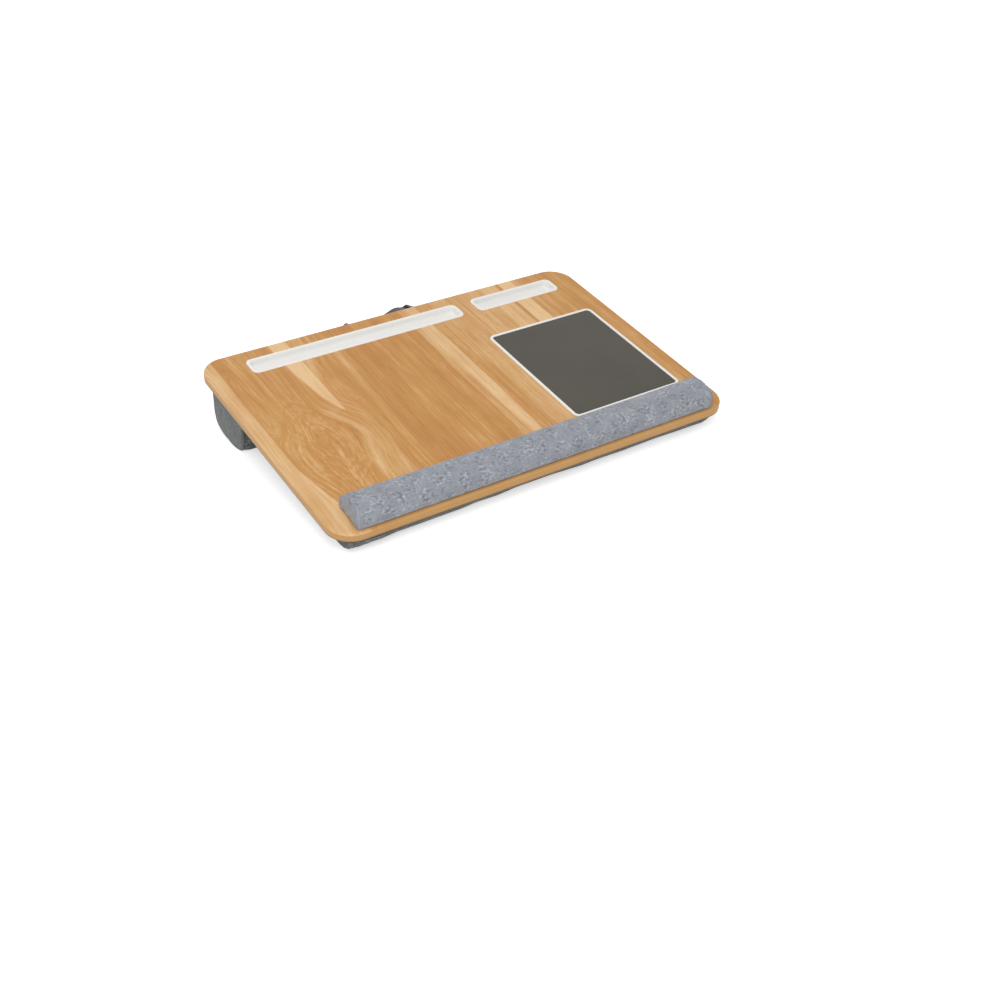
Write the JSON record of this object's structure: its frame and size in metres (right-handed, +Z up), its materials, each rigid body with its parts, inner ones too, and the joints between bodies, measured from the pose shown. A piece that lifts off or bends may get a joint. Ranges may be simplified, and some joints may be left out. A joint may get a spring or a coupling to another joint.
{
  "type": "cushioned lap desk",
  "caption": "Tilted wood-effect lap desk on fabric bolsters, with a padded wrist rest, tablet and phone slots, an inlaid mouse pad and a folded carry strap.",
  "frame": {"origin": "on the floor plane, at the centre of the footprint at rest with the strap in its rest pose", "axes": "+X to the user's right along the long side, +Y to the rear edge with the slots, +Z up; the board is tilted 7.6 degrees about X, front edge low"},
  "size_m": [0.555, 0.4201, 0.0799],
  "materials": {
    "fibreboard": "matte",
    "oak_film": "satin",
    "white_moulding": "satin",
    "pad_sheet": "matte",
    "pad_foam": "matte",
    "stiff_strip": "matte",
    "cushion_foam": "matte",
    "light_melange": "matte",
    "dark_melange": "matte",
    "bead_fill": "matte",
    "strap_fabric": "matte",
    "staple_steel": "satin"
  },
  "bodies": {
    "desk": {"board_core": "fibreboard", "board_facing": "oak_film", "tablet_tray": "white_moulding", "phone_tray": "white_moulding", "pad_frame": "white_moulding", "mouse_pad": "pad_sheet", "pad_foam": "pad_foam", "wrist_base": "stiff_strip", "wrist_foam": "cushion_foam", "wrist_cover": "light_melange", "underside_lining": "dark_melange", "rear_bolster_sleeve": "dark_melange", "rear_bolster_end_left": "dark_melange", "rear_bolster_end_right": "dark_melange", "rear_bolster_fill": "bead_fill", "front_bolster_sleeve": "dark_melange", "front_bolster_end_left": "dark_melange", "front_bolster_end_right": "dark_melange", "front_bolster_fill": "bead_fill", "anchor_tab_left": "strap_fabric", "anchor_tab_right": "strap_fabric", "anchor_staples": "staple_steel"},
    "handle": {"handle_strap": "strap_fabric"}
  },
  "joints": [
    {"name": "handle_swing", "type": "hinge", "parent": "desk", "child": "handle", "pos_m": [0, 0.16699, 0.0693], "axis": [1, 0, 0], "range_deg": [-70, 100]}
  ]
}
